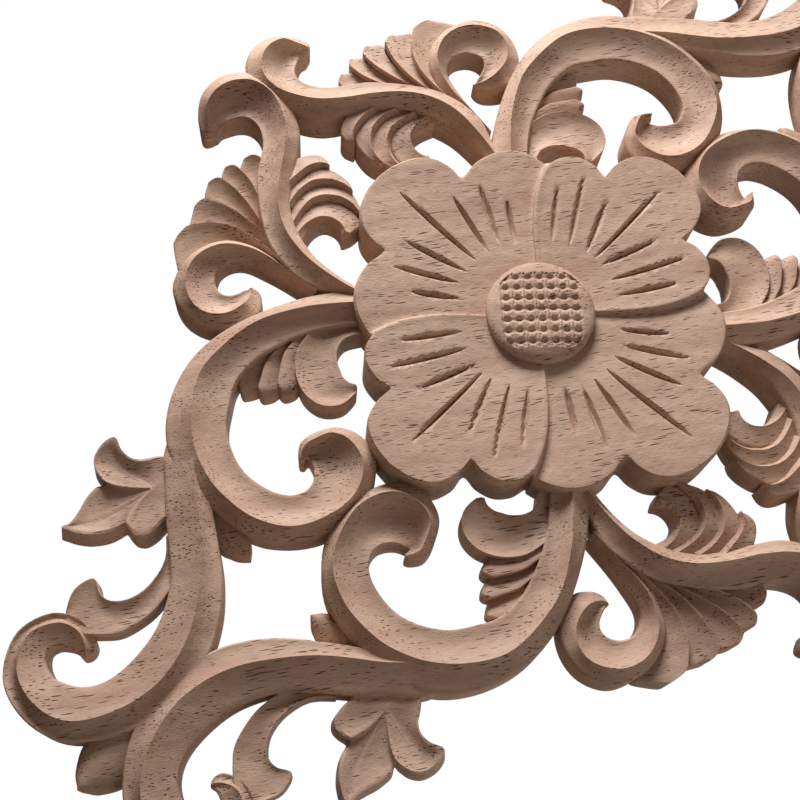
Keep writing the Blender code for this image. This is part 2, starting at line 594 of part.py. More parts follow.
def quarter():
    """All the scrolls and leaves of one quarter, as a single body."""
    plan = [
        (scroll, "c_scroll", C_RAILS, C_HEIGHTS, C_ROWS),
        (scroll, "s_scroll", S_RAILS, S_HEIGHTS, S_ROWS),
        (scroll, "p_curl", P_RAILS, P_HEIGHTS, P_ROWS),
        (scroll, "m_band", M_RAILS, M_HEIGHTS, M_ROWS),
        (blade, "stem", STEM, STEM_HEIGHTS, STEM_ROWS),
        (blade, "spur", SPUR, SPUR_HEIGHTS, SPUR_ROWS),
        (blade, "inner_leaf", INNER_LEAF, INNER_LEAF_HEIGHTS, INNER_LEAF_ROWS),
    ]
    for number, rails in enumerate(PALMETTE):
        plan.append((blade, f"lobe_{number + 1}", rails, PALMETTE_HEIGHTS, BLADE_ROWS))
    for number, rails in enumerate(INNER_RIBS):
        heights = INNER_RIB_HEIGHTS[number]
        plan.append((blade, f"inner_rib_{number + 1}", rails, heights, BLADE_ROWS))
    for number, rails in enumerate(FAN):
        plan.append((scroll, f"fan_{number + 1}", rails, FAN_HEIGHTS[number], RIB_ROWS))
    pieces = []
    for number, (shape, name, rails, heights, rows) in enumerate(plan):
        depth = FIRST_DEPTH + DEPTH_STEP * number
        pieces.append(shape(name, rails, heights, rows, depth))
    depth = FIRST_DEPTH + DEPTH_STEP * len(pieces)
    pieces.append(lobed_leaf("trefoil", TREFOIL, TREFOIL_ROOT, depth))
    return united(pieces[0], pieces[1:])


def whole():
    """The complete carving in front-view millimetres, cut flat at the back."""
    base = less(flower(), vein_cutter())
    one = quarter()
    bud = blade("end_bud", END_BUD, END_BUD_HEIGHTS, BUD_ROWS, FLOWER_DEPTH + DEPTH_STEP)
    others = [mirrored(one, -1, 1), mirrored(one, -1, -1), mirrored(one, 1, -1), one,
              mirrored(bud, -1, 1), bud, button()]
    base = less(united(base, others), back_block())
    return without_needless_edges(base)


def back_block():
    """The block that cuts everything below the back away."""
    x, y, z = BLOCK
    bpy.ops.mesh.primitive_cube_add(size=1, location=(0, 0, -z / 2))
    block = bpy.context.object
    block.name = "back_block"
    block.data.transform(Matrix.Diagonal((2 * x, 2 * y, z, 1)))
    return block


def without_needless_edges(piece):
    """Limited dissolve: faces that lie almost in one plane become one."""
    shape = bmesh.new()
    shape.from_mesh(piece.data)
    bmesh.ops.dissolve_limit(shape, angle_limit=math.radians(FLAT_ENOUGH),
                             verts=shape.verts, edges=shape.edges)
    bmesh.ops.triangulate(shape, faces=shape.faces)
    shape.to_mesh(piece.data)
    shape.free()
    return piece


def wood():
    material = bpy.data.materials.new("pale_wood")
    material.use_nodes = True
    shader = material.node_tree.nodes["Principled BSDF"]
    shader.inputs["Base Color"].default_value = WOOD["colour"]
    shader.inputs["Roughness"].default_value = WOOD["roughness"]
    shader.inputs["Metallic"].default_value = WOOD["metallic"]
    return material


def main():
    for item in list(bpy.data.objects):
        bpy.data.objects.remove(item)
    carving = whole()
    carving.name = "carved_applique"
    carving.data.name = "carved_applique"
    stand_up = Matrix.Rotation(math.radians(90), 4, "X")
    carving.data.transform(stand_up @ Matrix.Scale(MM * SCALE, 4))
    carving.data.materials.clear()
    carving.data.materials.append(wood())
    print("triangles", sum(len(p.vertices) - 2 for p in carving.data.polygons))


main()
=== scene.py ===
import math

import bmesh
import bpy
import numpy as np
from mathutils import Matrix, Vector


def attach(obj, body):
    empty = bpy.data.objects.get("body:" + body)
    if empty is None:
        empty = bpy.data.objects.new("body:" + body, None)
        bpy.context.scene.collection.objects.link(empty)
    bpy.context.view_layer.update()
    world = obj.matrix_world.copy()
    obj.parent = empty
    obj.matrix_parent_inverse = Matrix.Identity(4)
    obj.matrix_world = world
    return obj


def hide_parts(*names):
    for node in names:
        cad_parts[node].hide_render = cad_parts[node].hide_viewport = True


# Carved wooden applique: a lobed flower amid pierced leafy scrolls, flat at the back.
# The tables are millimetres seen from the front: x along the long axis, y along the
# short axis, z up from the back. One quarter is built, then mirrored in both axes.
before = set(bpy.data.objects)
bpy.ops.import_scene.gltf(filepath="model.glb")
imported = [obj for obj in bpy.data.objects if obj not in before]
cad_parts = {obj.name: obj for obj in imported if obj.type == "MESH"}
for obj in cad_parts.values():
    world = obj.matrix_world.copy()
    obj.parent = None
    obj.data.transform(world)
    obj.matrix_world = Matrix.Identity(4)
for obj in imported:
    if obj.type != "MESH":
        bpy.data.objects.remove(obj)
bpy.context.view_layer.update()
print("frame loaded", flush=True)

mm = 0.001


def splineThrough(table, at):
    # Catmull-Rom: with neighbours a b c d and u from b to c,
    # p = (2b + (c-a)u + (2a-5b+4c-d)u^2 + (3b-a-3c+d)u^3) / 2
    rows = np.array(table, float).reshape(len(table), -1)
    low = np.clip(np.floor(at).astype(int), 0, len(rows) - 2)
    u = (at - low)[:, None]
    a = rows[np.maximum(low - 1, 0)]
    b, c = rows[low], rows[low + 1]
    d = rows[np.minimum(low + 2, len(rows) - 1)]
    cubic = 2 * b + (c - a) * u + (2 * a - 5 * b + 4 * c - d) * u ** 2
    return 0.5 * (cubic + (3 * b - a - 3 * c + d) * u ** 3)


def stationsTo(count, rows, crowd):
    # stations 0 .. count-1, closer together towards the tip: 1 - (1-u)^crowd
    u = np.linspace(0, 1, rows)
    return (count - 1) * (1 - (1 - u) ** crowd)


def meshFrom(name, points, quads, caps):
    mesh = bpy.data.meshes.new(name)
    mesh.from_pydata(points.reshape(-1, 3).tolist(), [], quads.tolist() + caps)
    shape = bmesh.new()
    shape.from_mesh(mesh)
    if shape.calc_volume(signed=True) < 0:
        bmesh.ops.reverse_faces(shape, faces=shape.faces)
    shape.to_mesh(mesh)
    shape.free()
    piece = bpy.data.objects.new(name, mesh)
    bpy.context.scene.collection.objects.link(piece)
    return piece


def closedTube(name, grid):
    # grid[row, around]: a section carried from row to row, closed round and capped
    rows, around = grid.shape[:2]
    index = np.arange(rows * around).reshape(rows, around)
    ahead = np.roll(index, -1, axis=1)
    quads = np.stack([index[:-1], index[1:], ahead[1:], ahead[:-1]], axis=-1)
    caps = [index[0].tolist(), index[-1][::-1].tolist()]
    return meshFrom(name, grid, quads.reshape(-1, 4), caps)


def softEdge(distance, radius):
    # how far the top drops near an edge: radius * (1 - d/radius)^2 inside the radius
    return radius * np.clip(1 - distance / radius, 0, 1) ** 2


bluntTip = 0.06               # share of its width that a piece keeps at its very tip


def roundedTip(middle, radius):
    # width factor along the piece: 1, then a quarter circle over the last radius
    step = np.linalg.norm(np.diff(middle, axis=0), axis=1)
    left = np.concatenate([np.cumsum(step[::-1])[::-1], [0]])
    inside = np.clip(1 - left / radius, 0, 1)
    return np.maximum(np.sqrt(1 - inside ** 2), bluntTip)[:, None]


scroll = {
    "flankSteps": 9,          # columns from the outer edge to the crest
    "flankCrowd": 1.7,        # they crowd towards the edge
    "flankHollow": 0.25,      # mm that the outer flank is scooped
    "coveSteps": 12,          # columns from the crest to the inner edge
    "coveCrowd": 1.5,         # they crowd towards the inner edge
    "edgeRound": 0.5,         # mm of softened arris at both rims
    "crowd": 1.25,            # rows crowd towards the tip
    "tipRound": 1.0,          # mm over which the tip narrows
}


def scrollBand(name, rails, heights, rows, depth):
    # a band between three rails: plain flank, sharp crest, hollow inner face
    at = stationsTo(len(rails), rows, scroll["crowd"])
    path = splineThrough(rails, at)
    marks = np.array(heights, float)
    zOuter, zCrest, zInner, hollow = (
        np.interp(at, marks[:, 0], marks[:, k])[:, None] for k in range(1, 5))
    outer, crest, inner = path[:, None, 0:2], path[:, None, 2:4], path[:, None, 4:6]
    tip = roundedTip(path[:, 2:4], scroll["tipRound"])
    outer = crest + (outer - crest) * tip[..., None]
    inner = crest + (inner - crest) * tip[..., None]
    # flank, t = 0 at the outer edge and 1 at the crest:
    # z = zOuter + (zCrest - zOuter)t - flankHollow * 4t(1-t)
    t = (np.linspace(0, 1, scroll["flankSteps"]) ** scroll["flankCrowd"])[None, :]
    flankXY = outer + (crest - outer) * t[..., None]
    span = np.linalg.norm(crest - outer, axis=2)
    flankZ = zOuter + (zCrest - zOuter) * t - scroll["flankHollow"] * 4 * t * (1 - t)
    flankZ = flankZ - softEdge(span * t, scroll["edgeRound"])
    # cove, t = 0 at the crest and 1 at the inner edge:
    # z = zCrest + (zInner - zCrest)t - hollow * 4t(1-t)
    t = (1 - (1 - np.linspace(0, 1, scroll["coveSteps"])) ** scroll["coveCrowd"])[None, 1:]
    coveXY = crest + (inner - crest) * t[..., None]
    span = np.linalg.norm(crest - inner, axis=2)
    coveZ = zCrest + (zInner - zCrest) * t - hollow * 4 * t * (1 - t)
    coveZ = coveZ - softEdge(span * (1 - t), scroll["edgeRound"])
    plan = np.concatenate([outer, flankXY, coveXY, inner], axis=1)
    down = np.full_like(zOuter, -depth)
    z = np.concatenate([down, flankZ, coveZ, down], axis=1)
    return closedTube(name, np.dstack([plan, z]))


leaf = {
    "steps": 13,              # columns from edge to edge
    "crowd": 1.6,             # rows crowd towards the tip
    "edgeRound": 0.35,        # mm
    "tipRound": 2.2,
    "tipDrop": 0.7,           # mm that the top comes down at the tip
    "ribSwell": 0.3,          # mm that a rib is fuller in its middle
}


def leafBlade(name, rails, heights, rows, depth, swell=0):
    # across the blade, t = 0 .. 1: a parabola through both edges and the middle,
    # plus a swell of swell * 4t(1-t); heights turn from body to end by (station / last)^4
    at = stationsTo(len(rails), rows, leaf["crowd"])
    path = splineThrough(rails, at)
    left, spine, right = path[:, None, 0:2], path[:, None, 2:4], path[:, None, 4:6]
    tip = roundedTip(path[:, 2:4], leaf["tipRound"])
    left = spine + (left - spine) * tip[..., None]
    right = spine + (right - spine) * tip[..., None]
    t = (0.5 - 0.5 * np.cos(np.linspace(0, math.pi, leaf["steps"])))[None, :]
    a, b, c = (1 - t) * (1 - 2 * t), 4 * t * (1 - t), t * (2 * t - 1)
    plan = left * a[..., None] + spine * b[..., None] + right * c[..., None]
    width = np.linalg.norm(right - left, axis=2)
    body, end = np.array(heights)
    near, middle, far = ((body + (end - body) * (at[:, None] / at[-1]) ** 4).T)[..., None]
    z = near * a + middle * b + far * c + swell * b
    z = z - softEdge(width * t, leaf["edgeRound"])
    z = z - softEdge(width * (1 - t), leaf["edgeRound"])
    z = z - leaf["tipDrop"] * (1 - tip)
    down = np.full((len(at), 1), -depth)
    plan = np.concatenate([left, plan, right], axis=1)
    return closedTube(name, np.dstack([plan, np.concatenate([down, z, down], axis=1)]))


spoon = {
    "rimSteps": 5,            # columns between two rows of the rim table
    "rings": 14,
    "heart": 0.05,            # share of each ray inside the last ring
    "edgeRound": 0.4,         # mm
    "flare": 1.07,            # how much wider the leaf is at its back
}


def spoonLeaf(name, rim, root, depth):
    # a lobed leaf spread out from its root: along each ray s = 0 .. 1 a parabola
    # through the root, the row's middle point and the row's rim point
    count = len(rim)
    looped = np.vstack([rim, rim[:1]])
    at = np.linspace(0, count, count * spoon["rimSteps"] + 1)[:-1]
    rows = splineThrough(looped, at)[None]
    s = np.linspace(spoon["heart"], 1, spoon["rings"])[::-1, None, None]
    surface = (np.array(root) * (1 - s) * (1 - 2 * s) + rows[..., 3:6] * 4 * s * (1 - s)
               + rows[..., 0:3] * s * (2 * s - 1))
    toRim = np.linalg.norm(surface[..., 0:2] - rows[..., 0:2], axis=2)
    surface[..., 2] -= softEdge(toRim, spoon["edgeRound"])
    wall = rows[..., 0:3].copy()
    flare = 1 + (spoon["flare"] - 1) * (wall[..., 2:3] + depth) / wall[..., 2:3]
    wall[..., 0:2] = root[:2] + (wall[..., 0:2] - root[:2]) * flare
    wall[..., 2] = -depth
    return closedTube(name, np.concatenate([wall, surface], axis=0))


# Scrolls, from root to tip: outer edge, crest and inner edge of each station
voluteRails = (
    ((24, 36), (26, 31.5), (28.5, 28)),
    ((31.5, 42), (32.5, 37.5), (35.5, 33.5)),
    ((38, 46), (39, 42.5), (40, 36.5)),
    ((47.5, 50.2), (48.3, 47.3), (47.5, 39.8)),
    ((57, 52.6), (57.6, 48.7), (55, 41.6)),
    ((66.5, 52.4), (66.8, 47.8), (62, 41)),
    ((76, 48.8), (74.5, 43), (67, 38.2)),
    ((83.5, 42.5), (80.3, 36.3), (71.8, 34.5)),
    ((87.5, 34), (83.5, 29), (75.3, 29)),
    ((88, 25), (84.4, 22.5), (76.8, 23.2)),
    ((87, 14.6), (83.6, 14.6), (76, 17)),
    ((83.3, 7.2), (80, 7.4), (73.9, 12.7)),
    ((76, 0.9), (74.4, 3.3), (71, 10.7)),
    ((67, -1.6), (66.6, 1.2), (68.6, 10.5)),
    ((58, 0.6), (60.5, 2.4), (66.8, 11.3)),
    ((52.8, 5), (56.4, 5.8), (65.6, 12.3)),
    ((51.8, 10.8), (55, 11.2), (64.8, 13.3)),
    ((53.8, 15.9), (56.4, 15.3), (64.2, 14.6)),
    ((58.2, 18.8), (59.8, 17.2), (63.9, 15.6)),
    ((62.6, 19.6), (63, 18), (64.2, 16)),
    ((66, 17.2), (65.8, 16.5), (65.6, 15.8)),
)
# Station, then heights of outer edge, crest and inner edge, then depth of the cove
voluteHeights = (
    (0, 9.5, 12.2, 9.5, 0.8),
    (8, 9.5, 12.2, 9.5, 1.0),
    (12, 8.5, 12.2, 9.5, 1.2),
    (15, 9.0, 12.0, 9.0, 2.6),
    (18, 8.8, 11.0, 8.0, 1.6),
    (20, 8.4, 9.4, 7.8, 0.1),
)
hookRails = (
    ((22.5, 31), (24.5, 31), (27, 31)),
    ((25, 40), (27, 40), (29.5, 40)),
    ((25.9, 47.5), (28.2, 47.5), (32.6, 47)),
    ((25.5, 53), (28.2, 53.5), (32.8, 53.5)),
    ((23.5, 59), (26.6, 59.8), (31.5, 60)),
    ((20, 64.5), (22.9, 65.7), (28.7, 65.5)),
    ((14.8, 69), (17, 71), (24.3, 71.5)),
    ((8.8, 73), (11.3, 75), (20, 76.2)),
    ((3.7, 76.9), (6, 79.7), (15.8, 79.2)),
    ((0.3, 82.3), (2.7, 84.8), (12.2, 81.8)),
    ((-1.7, 88.5), (1, 90), (9.8, 84.9)),
    ((-2, 95.5), (1.7, 95.3), (8.7, 88)),
    ((1, 101.3), (5.2, 99), (9, 90.8)),
    ((6.5, 104.2), (9.5, 100.6), (10.6, 92.8)),
    ((12.5, 103.6), (13.6, 99.9), (12.8, 94)),
    ((17.2, 100.3), (16.4, 97.5), (14.8, 94.8)),
    ((20.2, 96), (18.6, 95.3), (16.8, 94.4)),
)
hookHeights = (
    (0, 9.0, 11.2, 9.0, 0.6),
    (3, 10.0, 13.2, 10.0, 0.8),
    (9, 10.0, 13.2, 9.5, 1.0),
    (12, 10.0, 13.0, 9.0, 2.4),
    (14, 9.5, 11.5, 8.0, 1.8),
    (16, 6.5, 7.0, 6.0, 0.2),
)
curlRails = (
    ((30.5, 44), (32, 44), (33.5, 44)),
    ((32, 52), (33.2, 52), (34.8, 52)),
    ((32.5, 58), (33.8, 58.3), (36.2, 58)),
    ((33.8, 64), (35.7, 64), (37.8, 62.8)),
    ((37.5, 69.8), (39.2, 68.5), (40.3, 65.2)),
    ((43.5, 72.7), (44, 70.6), (43.6, 65.8)),
    ((50, 72.4), (48.8, 70.2), (46.4, 64.4)),
    ((55.8, 69.3), (53, 67.4), (47.9, 62.3)),
    ((58.4, 63.1), (55.5, 62.5), (48.1, 60)),
    ((57.2, 56.7), (54.8, 58.1), (46.9, 58.4)),
    ((52.8, 51.4), (51.5, 54.8), (45.2, 57.6)),
    ((46.5, 49.7), (46.7, 53.8), (43.6, 57.2)),
    ((42, 52.8), (43.2, 55), (42.2, 57)),
    ((40.8, 56.2), (41.4, 56.9), (41.3, 57.6)),
)
curlHeights = (
    (0, 7.5, 9.5, 7.0, 0.4),
    (4, 8.5, 10.6, 7.2, 0.6),
    (8, 8.5, 10.8, 8.0, 1.6),
    (11, 8.0, 10.0, 7.5, 1.2),
    (13, 5.5, 6.0, 5.5, 0.1),
)
outerRails = (
    ((78.5, 44), (79, 38), (77, 34.5)),
    ((86, 40.6), (82.5, 34.2), (81.3, 32.5)),
    ((91.5, 34.6), (87.3, 28.8), (84.6, 27.9)),
    ((96.5, 29), (91.8, 22.6), (88.3, 22.3)),
    ((101.6, 22.6), (96.2, 17.3), (92.6, 16.2)),
    ((107, 16.8), (101.8, 12.2), (97.4, 9.9)),
    ((114.5, 12.6), (108.6, 7.2), (104, 3.8)),
    ((122, 11.1), (116, 4), (112, -0.4)),
    ((129.5, 11.6), (124.5, 3), (122, -1.8)),
    ((134.6, 14.5), (133.8, 5.5), (134, 0.2)),
    ((137.4, 19.8), (141.5, 11), (144.6, 8.5)),
    ((137.1, 23.4), (144, 18.8), (147.8, 18)),
    ((135, 25.9), (141.9, 26.8), (145.3, 28)),
    ((132.9, 25.6), (135.2, 31), (136.8, 33.6)),
    ((131.4, 23.9), (129.2, 28.8), (128.5, 31.5)),
    ((130.6, 22.2), (127.2, 24.6), (125.2, 25.4)),
    ((130.5, 20.8), (128.2, 21.3), (126.6, 20)),
    ((130.8, 19.6), (130.1, 19.4), (129.6, 18.7)),
)
outerHeights = (
    (0, 8.6, 11.4, 9.0, 0.4),
    (3, 9.0, 11.8, 9.5, 0.5),
    (9, 9.0, 11.8, 9.5, 0.8),
    (13, 7.5, 10.0, 8.8, 1.6),
    (15, 7.0, 9.2, 8.5, 1.4),
    (17, 5.5, 6.0, 5.5, 0.1),
)

# Small blades: one edge, middle line, other edge, from root to tip
palmetteRails = (
    (((27, 59), (28, 60), (29.5, 61)),
     ((22.5, 67), (24, 68), (26, 69)),
     ((18.5, 73.5), (20.5, 74), (22.8, 74.5)),
     ((15.2, 78.5), (18, 78.5), (21.4, 78)),
     ((15.2, 81.2), (17.6, 81), (21, 81)),
     ((15.9, 82.9), (18.2, 82.9), (20.8, 82.6))),
    (((29.3, 60), (30, 61), (31, 62)),
     ((25.6, 67.5), (26.9, 68), (28.5, 68)),
     ((22.7, 73.5), (24.3, 74), (26.5, 74)),
     ((21.2, 78), (23.2, 78.5), (25.8, 78.8)),
     ((20.9, 82.2), (23.2, 82.2), (25.9, 82)),
     ((21.3, 84.5), (23.4, 84.5), (25.8, 84.2))),
    (((31, 58), (31.3, 59), (32, 60)),
     ((28.4, 66), (29, 66.5), (30, 66.5)),
     ((26.4, 73), (28, 73.2), (30.1, 73)),
     ((25.7, 78.5), (28, 78.5), (31, 78.6)),
     ((26, 82.6), (28.8, 82.2), (32.6, 81.7)),
     ((26.7, 84.6), (29.3, 84.3), (32, 83.5))),
    (((31.2, 56), (31.8, 57), (32.8, 58)),
     ((30, 64.5), (31.2, 64.3), (32.8, 64)),
     ((29.8, 70.5), (31.8, 70), (34.2, 70.5)),
     ((30.6, 76), (33.4, 75.5), (37.2, 75)),
     ((32.6, 80.9), (36, 79.5), (40.6, 78.6)),
     ((33.5, 82.9), (36.6, 81.8), (40.2, 80.1))),
    (((31.8, 56), (33, 57), (34.5, 57.5)),
     ((32.3, 64.6), (34, 65), (36.5, 64.5)),
     ((33.6, 70.4), (36.3, 70.3), (40, 69)),
     ((36.3, 75), (40.4, 73.4), (46, 70.5)),
     ((40.4, 78.4), (45.2, 76), (50.6, 71.8)),
     ((43.3, 80), (47.2, 78), (51, 73.8))),
)
# Heights of the first edge, the middle and the other edge, along the blade and at its tip
palmetteHeights = (((9.6, 7.2, 7.3), (9.0, 8.4, 8.0)),) * 5
# Fan ribs are small scrolls, from the hook to their tips
fanRails = (
    (((14.5, 72.5), (16, 69.4), (16.6, 68)),
     ((10.6, 73.6), (12.4, 69.3), (12.6, 67.9)),
     ((8, 72.6), (9.6, 69.1), (9.4, 67.9)),
     ((5.8, 71.5), (7.5, 68.6), (7.1, 67.4)),
     ((4.2, 70), (5.8, 67.6), (5.7, 66.6)),
     ((3.7, 68), (4.8, 66.4), (5, 65.8)),
     ((4.2, 66), (4.5, 65.8), (4.8, 65.6))),
    (((19.5, 68.5), (19.6, 65.2), (19.8, 63.9)),
     ((16, 69.6), (16.2, 66), (16, 64.9)),
     ((12.2, 69.8), (13.4, 66), (13.1, 64.8)),
     ((8.6, 68.9), (11, 65.5), (10.9, 64.1)),
     ((6.2, 67.3), (8.9, 64.2), (9, 62.8)),
     ((4.9, 65), (7.2, 62.4), (7.5, 61.1)),
     ((4.2, 61.6), (6, 60), (6.7, 59.1)),
     ((4.4, 58.7), (5.6, 57.8), (6.1, 57.3)),
     ((5.2, 56.9), (5.6, 56.7), (6, 56.5))),
    (((22.5, 65), (22.3, 61.2), (22.5, 59.8)),
     ((19, 66.2), (19.2, 62), (19, 60.9)),
     ((15.6, 66.4), (16.5, 62.4), (16.2, 61.1)),
     ((12.6, 66.2), (14.3, 62.2), (14.1, 60.7)),
     ((9.6, 65), (12.1, 61.3), (12.3, 59.7)),
     ((7.4, 62.4), (10.4, 59.8), (10.9, 58.3)),
     ((6, 59.6), (8.9, 57.6), (9.9, 56.6)),
     ((5.9, 56.2), (8.2, 54.9), (9.5, 54.5)),
     ((6.9, 53.4), (8.4, 52.6), (9.3, 52.4)),
     ((8, 50.8), (8.7, 50.7), (9.3, 50.6))),
    (((24.5, 62.5), (24.2, 58.3), (24.5, 56)),
     ((21.5, 62.6), (20.9, 58.7), (21, 57.2)),
     ((18.6, 62.6), (18.6, 58.3), (18.2, 57.3)),
     ((15.6, 62.2), (16.7, 57.5), (16.3, 56.5)),
     ((12.4, 60.6), (15, 55.7), (15.4, 54.9)),
     ((10.2, 57.4), (14.3, 53.6), (15.2, 53.2)),
     ((9.2, 53.6), (14.4, 51.7), (15.6, 51.6)),
     ((9.6, 50.2), (14.9, 50.4), (16.3, 50.5)),
     ((11, 48.6), (14.2, 49.2), (16.2, 49.8))),
)
fanHeights = (
    ((0, 9.2, 10.6, 9.4, 0.2), (2, 9.6, 10.8, 8.4, 0.3), (6, 8.6, 9.4, 8.2, 0.1)),
    ((0, 8.6, 10, 9, 0.2), (3, 8.8, 10.2, 7.8, 0.3), (8, 8.2, 9, 7.6, 0.1)),
    ((0, 8, 9.4, 8.4, 0.2), (3, 8.2, 9.6, 7.2, 0.3), (9, 7.8, 8.4, 7, 0.1)),
    ((0, 7.6, 8.8, 7.8, 0.2), (3, 7.8, 9.2, 7.8, 0.2), (8, 7, 8, 7.2, 0.1)),
)
innerLeafRails = (
    ((28.5, 33.5), (30.4, 31), (32.2, 28)),
    ((33, 36.4), (34.6, 33.4), (36.2, 30.3)),
    ((37.6, 38), (38.6, 34), (39.6, 29.6)),
    ((42.4, 37.4), (42.3, 32.6), (42, 27.4)),
    ((47.1, 36), (45.8, 31), (43, 25.6)),
    ((51.2, 32.3), (48.5, 28.6), (43.7, 24.2)),
    ((53.4, 27.4), (49.4, 25.6), (43.9, 23)),
    ((52.8, 22.5), (48.9, 22.4), (43.8, 21.8)),
    ((49.4, 19.2), (46.7, 20), (43.3, 20.8)),
    ((44.8, 18.6), (43.9, 19.2), (42.6, 19.8)),
)
innerLeafHeights = ((9.3, 7.7, 8.8), (9.2, 8.2, 8.8))
innerRibRails = (
    (((41, 41), (41, 38.5), (41, 35)),
     ((45.4, 39.1), (45.6, 37), (45.6, 34.5)),
     ((49.6, 38), (49.2, 35.8), (48.6, 33)),
     ((53.8, 35.4), (53, 33.4), (51.4, 30.8)),
     ((57, 33.2), (56.1, 31.3), (54.2, 29.4))),
    (((45, 42), (45, 40), (45, 37.5)),
     ((49.4, 40.7), (49.6, 39), (49.4, 36.4)),
     ((53.6, 40), (53, 38), (52, 35.2)),
     ((57.6, 37.8), (56.8, 36), (54.8, 33.6)),
     ((60.6, 36.4), (59.8, 34.7), (57.8, 32.6))),
    (((51, 43), (51, 41.2), (51, 39)),
     ((56, 42.4), (56, 40.2), (55.4, 37.4)),
     ((60.6, 41.6), (60.2, 39.4), (58.6, 36.6)),
     ((63, 40.2), (62.5, 38.6), (61, 36.9))),
)
innerRibHeights = (
    ((8.7, 7.9, 6.6), (8.0, 7.8, 6.6)),
    ((7.9, 7.1, 5.8), (7.2, 7.0, 5.8)),
    ((7.1, 6.3, 5.0), (6.4, 6.2, 5.0)),
)
# Lobed leaf: a rim point, then the point half way to it from the root, each x, y, z
trefoilRoot = (93.4, 36.2, 8.2)
trefoilRim = (
    (84, 38, 8.4, 88, 36.5, 8.2),
    (87.5, 41, 8.6, 90, 38.6, 8.0),
    (89, 41.9, 8.8, 91.4, 39.2, 7.8),
    (90.9, 43.2, 9.0, 92.8, 40.6, 7.5),
    (92.2, 45.2, 9.2, 93.8, 42.6, 7.3),
    (92.3, 47.9, 9.5, 94.8, 45, 7.3),
    (91.3, 50.6, 9.8, 95.2, 46.6, 7.4),
    (92.2, 51.8, 9.6, 95.8, 46.8, 7.4),
    (95, 52.1, 9.2, 96.4, 46.6, 7.4),
    (98, 51, 9.0, 97, 46, 7.5),
    (99.6, 48.9, 9.0, 97.5, 45, 7.7),
    (100.1, 46.4, 9.0, 98, 43.2, 8.0),
    (100, 45.2, 9.0, 98.2, 41.6, 8.3),
    (100.4, 45.2, 6.8, 98.5, 41.4, 7.4),
    (102, 46, 7.4, 100.2, 41.6, 7.0),
    (103.7, 45.9, 7.8, 101.6, 41.6, 6.8),
    (105.8, 45.5, 8.0, 102.8, 41.4, 6.8),
    (108, 44.7, 8.2, 104, 41, 6.8),
    (110.2, 44, 8.4, 105, 40.6, 6.9),
    (112.2, 43.8, 8.6, 105.8, 40.2, 7.0),
    (113.9, 44.3, 8.8, 106.2, 39.8, 7.0),
    (113.3, 42.6, 8.7, 105.8, 39.3, 7.0),
    (112.4, 40.8, 8.6, 105, 38.8, 7.0),
    (110.7, 38.5, 8.5, 103.8, 38.2, 7.1),
    (108.1, 36.4, 8.2, 102.3, 37.6, 7.2),
    (105.9, 35.4, 7.8, 100.9, 37, 7.3),
    (103.9, 34.9, 7.2, 99.8, 36.4, 7.5),
    (103.7, 34.4, 8.8, 99.5, 36, 8.1),
    (104, 32.6, 8.8, 99.4, 34.6, 7.9),
    (103.8, 30.8, 8.7, 98.9, 33.6, 7.8),
    (102.4, 29.4, 8.6, 98, 33.2, 7.8),
    (99.8, 28.9, 8.5, 96.8, 32.8, 7.9),
    (97, 29, 8.4, 95.4, 32.8, 8.0),
    (93.5, 28.5, 8.4, 93.6, 32.8, 8.1),
    (88, 32, 8.4, 90.8, 34.6, 8.2),
)
stemRails = (
    ((99, 26.5), (100, 22), (101, 18)),
    ((103.2, 22.4), (104.8, 20), (106.5, 16.8)),
    ((108.9, 20.8), (110.5, 18.6), (112.2, 15.9)),
    ((114, 21.4), (115.4, 19), (117, 16.4)),
    ((117.6, 24), (119.3, 21.5), (121.4, 17.8)),
    ((118.3, 27.2), (120.8, 24.5), (124.4, 20.3)),
    ((116.9, 30.6), (121.6, 27), (126.8, 23)),
    ((121.2, 31.8), (124.3, 29), (128.4, 25.4)),
    ((126, 30), (127, 28.6), (129.4, 27)),
)
stemHeights = ((8.0, 6.9, 7.6), (8.8, 8.2, 8.2))
spurRails = (
    ((83, 27), (86, 27), (90, 25)),
    ((84.3, 20), (87.6, 19.8), (92.2, 19)),
    ((85.3, 15.5), (88.3, 15.4), (92.9, 15.6)),
    ((86, 13.2), (88.8, 12.9), (92.2, 13.4)),
    ((87.6, 10.8), (89.3, 10.5), (91.2, 11)),
    ((89.1, 9.6), (89.5, 9.5), (90, 9.6)),
)
spurHeights = ((4.8, 6.4, 4.4), (4.6, 5.2, 4.4))
endBudRails = (
    ((112, 3), (112, 0), (112, -3)),
    ((126, 4.5), (126, 0), (126, -4.5)),
    ((136, 6.5), (136, 0), (136, -6.5)),
    ((143, 6), (143, 0), (143, -6)),
    ((148, 3), (148, 0), (148, -3)),
    ((150.0, 0.6), (150.0, 0), (150.0, -0.6)),
)
endBudHeights = ((6.0, 8.2, 6.0), (6.0, 7.6, 6.0))


def addBoolean(base, other, operation):
    step = base.modifiers.new(other.name, "BOOLEAN")
    step.operation = operation
    step.solver = "MANIFOLD"
    step.object = other


def applied(base, helpers):
    graph = bpy.context.evaluated_depsgraph_get()
    mesh = bpy.data.meshes.new_from_object(base.evaluated_get(graph))
    base.modifiers.clear()
    base.data = mesh
    for helper in helpers:
        bpy.data.objects.remove(helper)
    return base


def united(base, others):
    for other in others:
        addBoolean(base, other, "UNION")
    return applied(base, others)


# Rows along each piece, from root to tip
rowsAlong = {"volute": 112, "hook": 90, "curl": 78, "outer": 98, "leaf": 52, "stem": 40,
             "bud": 40, "blade": 28}
